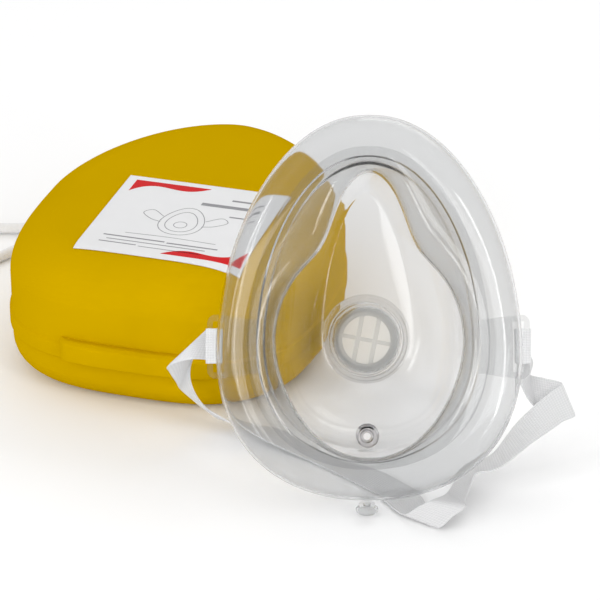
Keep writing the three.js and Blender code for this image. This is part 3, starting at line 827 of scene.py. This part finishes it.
def dome_profiles():
    """(radius, depth) along the middle of the shell's outer face, for every direction."""
    foot = egg(WALL_INSET)
    drop = teardrop(1.2)
    wall, _ = smooth_path([(share * WALL_RUN, deep) for share, deep in WALL_STEPS], 26)
    shares = np.clip(wall[:, 0] / WALL_RUN, 0, 1)
    rows = [(egg(FLANGE_INSET), FLANGE_BACK), (egg(WALL_INSET - 1.5), FLANGE_BACK)]
    rows += [((1 - share) * foot + share * drop, deep) for share, deep in zip(shares, wall[:, 1])]
    rows.append((teardrop(0.5), PLATEAU - 0.25))
    rows.append((teardrop(0.1) * 0.97, PLATEAU - 0.5))
    port = np.full(AROUND, PORT_R)
    rows.append((port, PLATEAU - 0.5))
    rows.append((port, PORT_END))
    radii = np.array([r for r, _ in rows])
    depth = np.array([np.full(AROUND, d) for _, d in rows])
    return radii, depth


def offset(radii, depth, thick):
    """The profile moved square to itself by the wall's thickness."""
    before = np.vstack([radii[:1], radii[:-1]])
    after = np.vstack([radii[1:], radii[-1:]])
    dr = after - before
    df = np.vstack([depth[1:], depth[-1:]]) - np.vstack([depth[:1], depth[:-1]])
    long = np.hypot(dr, df)
    return radii + thick * df / long, depth - thick * dr / long


def cut(piece, tool):
    """Takes the tool's solid away from the piece, and the tool away from the scene."""
    change = piece.modifiers.new("cut", "BOOLEAN")
    change.operation = "DIFFERENCE"
    change.solver = "EXACT"
    change.object = tool
    shaped = piece.evaluated_get(bpy.context.evaluated_depsgraph_get())
    mesh = bpy.data.meshes.new_from_object(shaped)
    piece.modifiers.clear()
    piece.data = mesh
    mesh.set_sharp_from_angle(angle=SHARP_ANGLE)
    bpy.data.objects.remove(tool)


INLET_U = -33.5
INLET_MOUTH = 3.2


def add_dome():
    radii, depth = dome_profiles()
    inner_r, inner_f = offset(radii, depth, DOME_WALL)
    inner_r[0] = radii[0]
    inner_f[0] = FLANGE_BACK + DOME_WALL
    inner_r[-1] = PORT_BORE
    inner_f[-1] = PORT_END
    inner_r[-2] = PORT_BORE
    inner_f[-2] = PLATEAU + DOME_WALL - 0.5
    rings = [polar(r, f) for r, f in zip(radii, depth)]
    rings += [polar(r, f) for r, f in zip(inner_r[::-1], inner_f[::-1])]
    piece = make_object("clear_dome", [closed_body(np.array(rings), wrap=True)], MASK_FRAME, CLEAR)
    hole = disc([(0.01, -60), (INLET_MOUTH, -60), (INLET_MOUTH, -20), (0.01, -20)])
    hole = moved(hole, Matrix.Translation((0, INLET_U, 0)))
    drill = make_object("inlet_drill", [hole], MASK_FRAME, CLEAR)
    cut(piece, drill)
    place(piece, "mask", "clear", "dome")


add_dome()

paint_cad(INLET, "oxygen_inlet")
paint_cad(CLEAR, "strap_lug_left", "strap_lug_right")
paint_cad(CAGE, "valve_cage")

# ---------- one-way valve ----------
SPIGOT_R = PORT_BORE - RUN
SPIGOT_IN = 11.8
SEAT_HOLE = 8.5
SEAT_F = -56
SEAT_THICK = 1.6
SPIGOT_END = -52
COLLAR_R = 16
COLLAR_END = -67
MOUTH_R = 13.2
MOUTH_ROOT = -60.5
MOUTH_STEP = -67.3
FLAP_R = 10.8
FILTER_R = 11.4
AXIS = 0.05


def add_valve():
    top = PORT_END - RUN - 0.2
    body = turned([
        (SPIGOT_IN, SPIGOT_END), (SPIGOT_R, SPIGOT_END), (SPIGOT_R, top), (COLLAR_R, top),
        (COLLAR_R, COLLAR_END), (SPIGOT_IN, COLLAR_END), (SPIGOT_IN, SEAT_F - SEAT_THICK),
        (SEAT_HOLE, SEAT_F - SEAT_THICK), (SEAT_HOLE, SEAT_F), (SPIGOT_IN, SEAT_F),
    ])
    place(make_object("valve_housing", [body], MASK_FRAME, CLEAR), "valve", "clear", "valve_body")
    mouth = turned([
        (11.5, MOUTH_ROOT), (11.5, MOUTH_STEP), (MOUTH_R - 0.4, MOUTH_STEP), (MOUTH_R - 0.6, -84),
        (MOUTH_R, -84.6), (MOUTH_R, VALVE_END), (10.4, VALVE_END), (9.8, MOUTH_ROOT),
    ], 0.5)
    place(make_object("mouthpiece", [mouth], MASK_FRAME, CLEAR), "valve", "clear", "valve_mouthpiece")
    flap = disc([
        (AXIS, SEAT_F + 0.3), (FLAP_R, SEAT_F + 0.3), (FLAP_R, SEAT_F + 0.9), (AXIS, SEAT_F + 0.9),
    ])
    place(make_object("flap_disc", [flap], MASK_FRAME, SILICONE), "flap", "silicone", "valve_flap")
    felt = disc([(AXIS, -59.8), (FILTER_R, -59.8), (FILTER_R, -58.2), (AXIS, -58.2)])
    place(make_object("filter_felt", [felt], MASK_FRAME, FILTER), "valve", "foam", "valve_filter")


add_valve()

# ---------- filling nozzle and plug ----------
NOZZLE_R = 2.8
NOZZLE_BORE = 1.2
NOZZLE_LIP = 3.8
NOZZLE_FLAT = 0.55
NOZZLE_AT = (-0.8, 2.6)
NOZZLE_Y = (-18.15, -21.8)
PLUG_R = 1
PLUG_LONG = 3
PLUG_CAP = 3.2
PLUG_CAP_THICK = 0.7


def add_nozzle():
    lay = Matrix.Translation((NOZZLE_AT[0], 0, NOZZLE_AT[1]))
    lay = lay @ Matrix.Diagonal((1, 1, NOZZLE_FLAT, 1)) @ Matrix.Rotation(math.pi / 2, 4, "X")
    root = -NOZZLE_Y[0]
    tip = -NOZZLE_Y[1]
    nozzle = turned([
        (NOZZLE_BORE, root), (NOZZLE_R, root), (NOZZLE_R, tip - 2),
        (NOZZLE_LIP, tip - 0.6), (NOZZLE_LIP, tip), (NOZZLE_BORE, tip),
    ], 0.25, 64)
    tube = make_object("filling_nozzle", [moved(nozzle, lay)], UPRIGHT, VINYL)
    place(tube, "mask", "soft", "inflation_nozzle")
    cap = tip + RUN
    end = cap + PLUG_CAP_THICK
    plug = disc([
        (AXIS, tip - PLUG_LONG), (PLUG_R, tip - PLUG_LONG), (PLUG_R, cap),
        (PLUG_CAP, cap), (PLUG_CAP, end), (AXIS, end),
    ], 0.15, 64)
    stopper = make_object("filling_plug", [moved(plug, lay)], UPRIGHT, SILICONE)
    place(stopper, "plug", "silicone", "inflation_plug")


add_nozzle()

# ---------- elastic head strap ----------
STRAP_WIDE = 12
STRAP_THICK = 0.8
STRAP_CLEAR = 0.05
STRAP_STEPS = 640
# Matching points of the band's two edges: through the left lug, and then from lug to lug.
LUG_EDGES = [
    ((-55.4, 21.4, 48.2), (-55.4, 15.8, 37.7)),
    ((-53.4, 21.4, 48.2), (-53.4, 15.8, 37.7)),
    ((-51.8, 21.5, 48.1), (-51.8, 15.9, 37.6)),
    ((-51.2, 22.3, 47.7), (-51.2, 16.7, 37.2)),
    ((-51.3, 23.9, 46.9), (-51.3, 18.3, 36.4)),
]
STRAP_EDGES = [
    ((-53.4, 25.3, 46.1), (-52.7, 20.4, 36.1)),
    ((-54.1, 25.7, 46.0), (-60.3, 21.4, 36.2)),
    ((-54.8, 26.5, 45.1), (-68.4, 21.5, 33.4)),
    ((-55.9, 28.0, 41.4), (-68.1, 23.9, 29.5)),
    ((-59.1, 28.5, 36.0), (-66.5, 27.0, 24.6)),
    ((-61.3, 26.7, 28.3), (-65.1, 32.7, 18.3)),
    ((-60.4, 26.5, 21.6), (-61.5, 34.6, 13.4)),
    ((-56.7, 27.2, 14.3), (-57.2, 37.3, 7.8)),
    ((-50.5, 27.9, 9.2), (-50.1, 37.9, 2.6)),
    ((-38.0, 24.0, 3.6), (-31.0, 33.6, 1.2)),
    ((-18.5, 12.0, 0.6), (-11.0, 21.5, 0.6)),
    ((-4.5, -1.4, 0.6), (4.6, 6.4, 0.6)),
    ((5.1, -12.8, 0.5), (16.2, -7.7, 0.5)),
    ((8.3, -18.2, 0.6), (19.4, -16.4, 0.5)),
    ((11.8, -22.9, 1.5), (22.6, -29.9, 0.7)),
    ((16.8, -24.3, 5.7), (27.6, -29.2, 4.6)),
    ((20.9, -23.4, 7.4), (31.8, -27.3, 7.0)),
    ((26.2, -11.4, 2.4), (31.9, -21.4, 5.4)),
    ((29.8, -3.4, 3.2), (33.6, -14.4, 6.0)),
    ((33.0, 1.4, 4.8), (35.4, -9.9, 8.0)),
    ((36.9, 3.4, 5.9), (36.9, -8.1, 8.8)),
    ((43.0, 5.0, 8.9), (44.4, -6.4, 9.8)),
    ((50.6, 10.4, 16.9), (55.1, -0.4, 15.7)),
    ((57.2, 14.3, 22.1), (62.5, 5.3, 17.9)),
    ((61.8, 17.4, 24.7), (66.5, 8.7, 19.0)),
    ((66.6, 20.5, 27.3), (70.7, 11.8, 19.6)),
    ((61.1, 23.9, 27.3), (62.3, 15.9, 18.6)),
    ((55.5, 25.5, 28.2), (56.8, 17.0, 20.7)),
    ((56.8, 25.5, 32.5), (52.4, 15.3, 29.2)),
    ((55.2, 25.9, 37.4), (51.9, 17.9, 31.6)),
    ((54.8, 25.4, 45.1), (53.3, 18.9, 35.0)),
]


def whole_band():
    """The strap's edge points from end to end; the right lug's are the left lug's, mirrored."""
    flip = (-1, 1, 1)
    right = [tuple(tuple(np.multiply(p, flip)) for p in pair) for pair in reversed(LUG_EDGES)]
    return LUG_EDGES + STRAP_EDGES + right


def band_rings(edges, thick, count):
    """Cross-sections of a flat band between two edge curves, and its length."""
    both, _ = smooth_path([(*one, *other) for one, other in edges], count)
    first = both[:, :3]
    second = both[:, 3:]
    middle = (first + second) / 2
    ahead = np.gradient(middle, axis=0)
    out = np.cross(ahead, second - first)
    out /= np.linalg.norm(out, axis=1)[:, None]
    across = 12
    steps = [i / across for i in range(across + 1)]
    section = [(t, 1) for t in steps] + [(1 - t, -1) for t in steps]
    rings = []
    for t, face in section:
        thin = 0.6 if t in (0, 1) else 1
        rings.append(first * (1 - t) + second * t + out * (face * thin * thick / 2))
    rings = np.stack(rings, axis=1)
    upper = np.array([face for _, face in section])[None, :] * np.sign(out[:, 2])[:, None] > 0
    rings[..., 2] = np.maximum(rings[..., 2], STRAP_CLEAR + np.where(upper, thick, 0))
    length = np.linalg.norm(np.diff(middle, axis=0), axis=1).sum()
    return rings, length


def add_strap():
    rings, length = band_rings(whole_band(), STRAP_THICK, STRAP_STEPS)
    piece = make_object("strap_band", [closed_body(rings)], UPRIGHT, ELASTIC)
    mesh = piece.data
    layer = mesh.uv_layers.new(name="band")
    count = rings.shape[1]
    for loop in mesh.loops:
        row, column = divmod(loop.vertex_index, count)
        from_edge = min(column, count - column) * STRAP_WIDE * 2 / count
        layer.data[loop.index].uv = (row * length / STRAP_STEPS, from_edge)
    place(piece, "mask", "elastic", "head_strap")


add_strap()


def clear_of_shadow():
    """Keeps the see-through plastic from throwing the dark shadow of a solid."""
    for piece in bpy.data.objects:
        worn = piece.data.materials[:1] if piece.type == "MESH" else []
        if any(material in (CLEAR, VINYL, INLET, CAGE) for material in worn):
            piece.visible_shadow = False


clear_of_shadow()

# ---------- stage ----------
FLOOR_HALF = 6.0
FLOOR_DROP = 0.0003
SKY = 0.84


def add_stage():
    corners = [(x * FLOOR_HALF, y * FLOOR_HALF, 0) for x, y in ((-1, -1), (1, -1), (1, 1), (-1, 1))]
    mesh = bpy.data.meshes.new("floor")
    mesh.from_pydata(corners, [], [(0, 1, 2, 3)])
    mesh.materials.append(plain("white_table", (0.9, 0.9, 0.9), (0.91, 0.91, 0.91), 0.6, 3, 0.00001))
    floor = bpy.data.objects.new("floor", mesh)
    floor.location.z = -FLOOR_DROP
    bpy.context.scene.collection.objects.link(floor)
    world = bpy.data.worlds.new("studio")
    world.use_nodes = True
    background = world.node_tree.nodes["Background"]
    background.inputs["Color"].default_value = (1, 1, 1, 1)
    background.inputs["Strength"].default_value = SKY
    bpy.context.scene.world = world
    bpy.context.scene.view_settings.view_transform = "Standard"


def softbox(name, position, target, size, power):
    """A rectangular lamp that faces its target."""
    data = bpy.data.lights.new(name, "AREA")
    data.shape = "RECTANGLE"
    data.size = size[0]
    data.size_y = size[1]
    data.energy = power
    lamp = bpy.data.objects.new(name, data)
    lamp.location = position
    direction = Vector(target) - Vector(position)
    lamp.rotation_euler = direction.to_track_quat("-Z", "Y").to_euler()
    bpy.context.scene.collection.objects.link(lamp)


add_stage()
softbox("front", (-0.35, -1.5, 0.75), (0, 0, 0.03), (1.2, 0.7), 8)
softbox("right_strip", (1.15, -0.75, 0.6), (0.05, -0.05, 0.06), (0.16, 1.1), 4)
softbox("left_strip", (-1.1, -1.0, 0.8), (0.05, -0.05, 0.06), (0.14, 1.0), 3)
softbox("back", (0.2, 1.2, 1.1), (0, 0, 0.03), (1.4, 0.5), 4)
